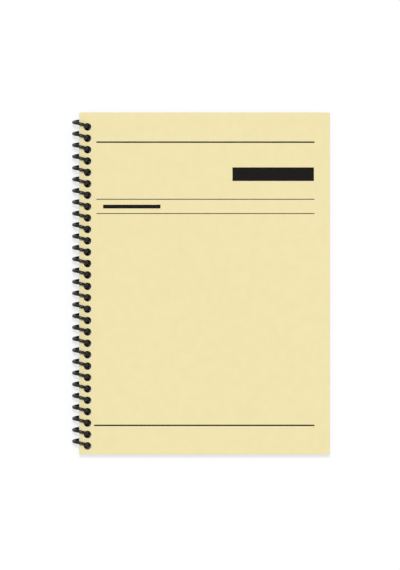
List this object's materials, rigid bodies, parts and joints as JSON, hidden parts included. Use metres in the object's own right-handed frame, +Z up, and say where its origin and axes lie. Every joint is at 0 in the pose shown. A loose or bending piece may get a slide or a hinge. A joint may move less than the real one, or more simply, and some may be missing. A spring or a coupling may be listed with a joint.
{
  "type": "spiral notebook",
  "caption": "Closed coil-bound notebook: card covers and a block of punched sheets held by a left-hand plastic coil with crimped ends.",
  "frame": {"origin": "bottom centre of the closed notebook's box", "axes": "+X from the coil to the fore edge, +Y to the top of the page, +Z up out of the front cover"},
  "size_m": [0.1439, 0.1906, 0.0102],
  "materials": {
    "cover_card": "uncoated card, buff, with dark printed rules",
    "back_board": "uncoated board, buff",
    "paper": "uncoated off-white paper",
    "coil_plastic": "glossy black filament"
  },
  "bodies": {
    "pad": {"page_block": "paper", "binding_coil": "coil_plastic"},
    "front_cover": {"front_cover": "cover_card"},
    "back_cover": {"back_cover": "back_board"}
  },
  "joints": [
    {"name": "front_cover_hinge", "type": "hinge", "parent": "pad", "child": "front_cover", "pos_m": [-0.06688, 0, 0.00455], "axis": [0, -1, 0], "range_deg": [0, 180], "deforming": ["binding_coil"]},
    {"name": "back_cover_hinge", "type": "hinge", "parent": "pad", "child": "back_cover", "pos_m": [-0.06688, 0, 0.00535], "axis": [0, 1, 0], "range_deg": [0, 180], "deforming": ["binding_coil"]}
  ]
}
